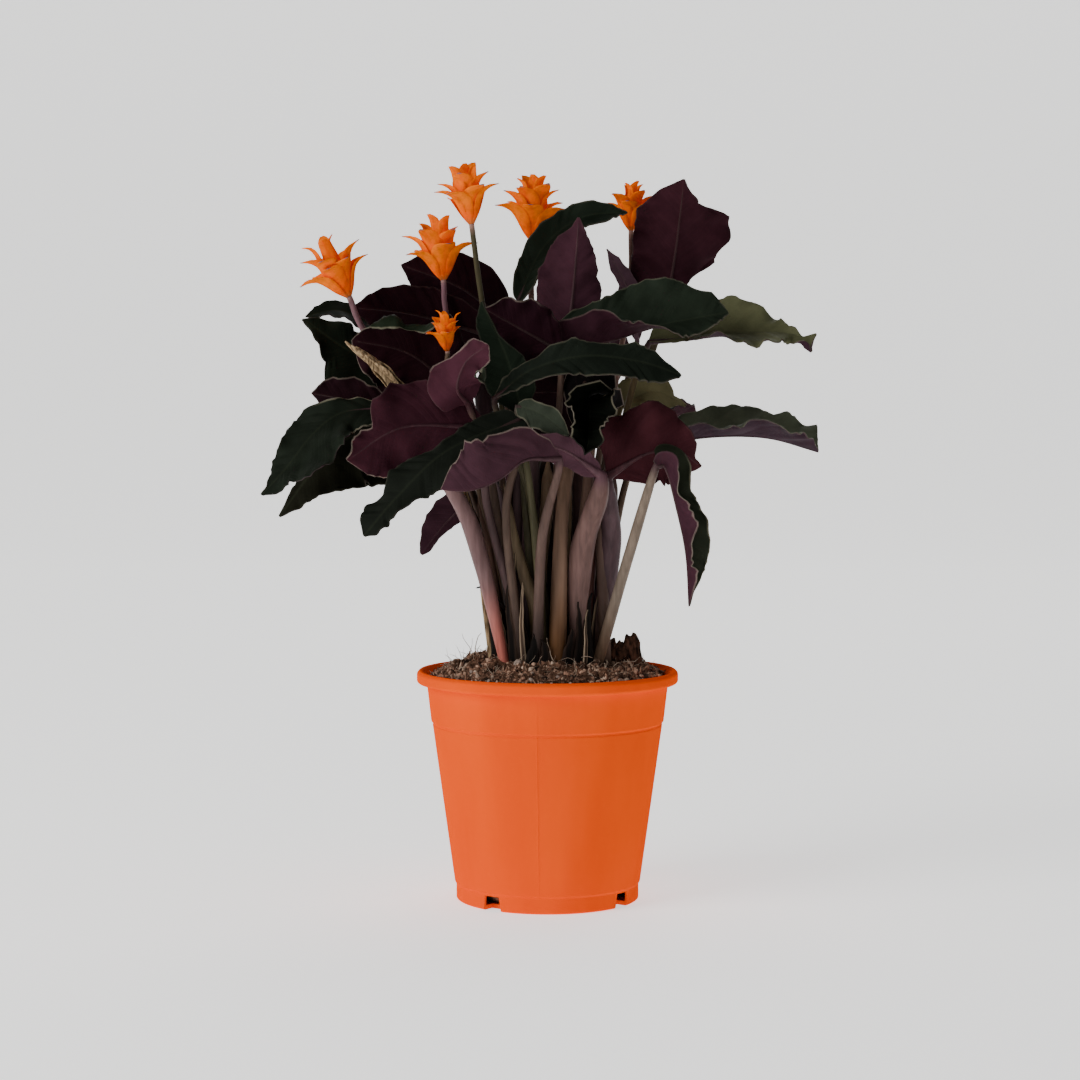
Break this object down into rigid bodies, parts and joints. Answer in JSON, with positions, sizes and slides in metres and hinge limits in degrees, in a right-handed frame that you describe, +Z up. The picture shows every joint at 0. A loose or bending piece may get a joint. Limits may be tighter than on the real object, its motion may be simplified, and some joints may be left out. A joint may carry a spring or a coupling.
{
  "type": "potted calathea",
  "caption": "Flowering prayer plant with wavy dark leaves, purple undersides and orange bract heads, standing in a round tapered nursery pot.",
  "frame": {"origin": "middle of the pot's flat underside, on the surface it stands on", "axes": "+Z up along the pot's axis, the plant's front towards -Y, +X to the right seen from the front"},
  "size_m": [0.3002, 0.2081, 0.4006],
  "materials": {
    "leaf": "waxy dark green above, matt purple below, with a pale rim",
    "stalk": "satin mauve-brown flower stalk",
    "bract": "papery orange",
    "dried_bract": "dry tan and papery",
    "bark": "rough weathered bark",
    "soil": "crumbly fibrous peat",
    "pot": "semi-matt moulded orange plastic"
  },
  "bodies": {
    "root": {"leaf_top_right": "leaf", "leaf_back_right_bud": "leaf", "leaf_right_arch": "leaf", "leaf_right_long": "leaf", "leaf_right_low": "leaf", "leaf_right_drooping": "leaf", "leaf_right_pale": "leaf", "leaf_front_brown": "leaf", "leaf_front_cup": "leaf", "leaf_front_mauve": "leaf", "leaf_front_centre": "leaf", "leaf_front_young": "leaf", "leaf_front_left_dark": "leaf", "leaf_low_left_tip": "leaf", "leaf_left_large": "leaf", "leaf_left_olive": "leaf", "leaf_left_red": "leaf", "leaf_centre_mauve": "leaf", "leaf_left_upper": "leaf", "leaf_left_band": "leaf", "leaf_left_point": "leaf", "leaf_left_sliver": "leaf", "leaf_left_small": "leaf", "leaf_back_round": "leaf", "leaf_top_arch": "leaf", "leaf_top_mauve": "leaf", "leaf_centre_dark": "leaf", "leaf_centre_green": "leaf", "leaf_centre_long": "leaf", "leaf_centre_purple": "leaf", "leaf_back_left": "leaf", "leaf_back_middle": "leaf", "leaf_back_right": "leaf", "leaf_back_low_left": "leaf", "leaf_back_low": "leaf", "stalk_left": "stalk", "stalk_mid_left": "stalk", "stalk_high": "stalk", "stalk_top": "stalk", "stalk_top_side": "stalk", "stalk_back_right": "stalk", "stalk_low": "stalk", "bloom_left": "bract", "bloom_mid_left": "bract", "bloom_high": "bract", "bloom_top": "bract", "bloom_top_side": "bract", "bloom_back_right": "bract", "bloom_low": "bract", "dried_bloom": "dried_bract", "bark_flake": "bark", "soil": "soil", "pot": "pot"}
  },
  "joints": []
}
